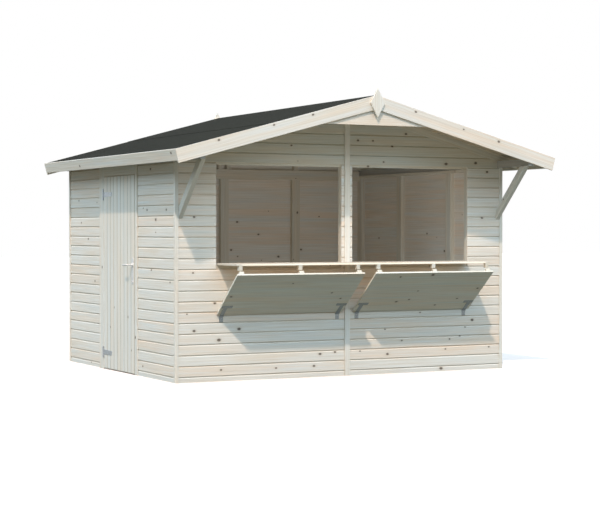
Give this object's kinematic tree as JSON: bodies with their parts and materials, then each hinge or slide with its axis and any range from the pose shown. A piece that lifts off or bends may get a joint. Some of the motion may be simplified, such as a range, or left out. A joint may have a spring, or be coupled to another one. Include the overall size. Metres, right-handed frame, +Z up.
{
  "type": "wooden market stall",
  "caption": "Gabled timber market stall with serving openings over a counter shelf, hinged sloping flaps below it and a boarded side door.",
  "frame": {"origin": "middle of the footprint box of the whole stall, on the ground", "axes": "+X to the right for someone facing the counter, -Y towards the customer, +Z up"},
  "size_m": [3.803, 3.377, 2.5431],
  "materials": {
    "wall_boards": "planed untreated spruce boards with grooves and knots",
    "trim_boards": "planed untreated spruce trim",
    "frame_timber": "planed untreated spruce framing",
    "counter_board": "planed untreated spruce",
    "flap_boards": "planed untreated spruce boards",
    "door_boards": "planed untreated spruce, vertical boards",
    "roof_felt": "mineral-surfaced bitumen felt, matt",
    "zinc_hinges": "zinc-plated steel",
    "handle_metal": "satin metal"
  },
  "bodies": {
    "stall": {"front_lower_left": "wall_boards", "front_lower_right": "wall_boards", "front_piers": "wall_boards", "front_gable": "wall_boards", "back_wall_left": "wall_boards", "back_wall_right": "wall_boards", "back_gable": "wall_boards", "right_wall": "wall_boards", "left_wall": "wall_boards", "end_wall_studs": "frame_timber", "end_wall_rails": "frame_timber", "side_wall_studs": "frame_timber", "side_wall_rails": "frame_timber", "eave_purlins": "frame_timber", "ridge_beam": "frame_timber", "left_rafters": "frame_timber", "right_rafters": "frame_timber", "left_roof_deck": "frame_timber", "right_roof_deck": "frame_timber", "shelf_blocks": "frame_timber", "door_head": "trim_boards", "door_casing": "trim_boards", "cover_strips": "trim_boards", "corner_trims": "trim_boards", "left_bargeboards": "trim_boards", "right_bargeboards": "trim_boards", "eave_fascias": "trim_boards", "tie_board": "trim_boards", "gable_finials": "trim_boards", "overhang_braces": "trim_boards", "left_roof_felt": "roof_felt", "right_roof_felt": "roof_felt", "counter_shelf": "counter_board", "flap_hinge_plates": "zinc_hinges", "door_hinge_plates": "zinc_hinges"},
    "left_flap": {"left_flap_panel": "flap_boards", "left_flap_battens": "frame_timber", "left_flap_straps": "zinc_hinges"},
    "right_flap": {"right_flap_panel": "flap_boards", "right_flap_battens": "frame_timber", "right_flap_straps": "zinc_hinges"},
    "door": {"door_leaf": "door_boards", "door_ledges": "door_boards", "door_straps": "zinc_hinges", "door_handle": "handle_metal"}
  },
  "joints": [
    {"name": "door_hinge", "type": "hinge", "parent": "stall", "child": "door", "pos_m": [-1.6895, 0.569, 0.9], "axis": [0, 0, -1], "range_deg": [0, 110]},
    {"name": "left_flap_hinge", "type": "hinge", "parent": "stall", "child": "left_flap", "pos_m": [-0.673, -1.1395, 0.56475], "axis": [1, 0, 0], "range_deg": [0, 110]},
    {"name": "right_flap_hinge", "type": "hinge", "parent": "stall", "child": "right_flap", "pos_m": [0.673, -1.1395, 0.56475], "axis": [1, 0, 0], "range_deg": [0, 110]}
  ]
}
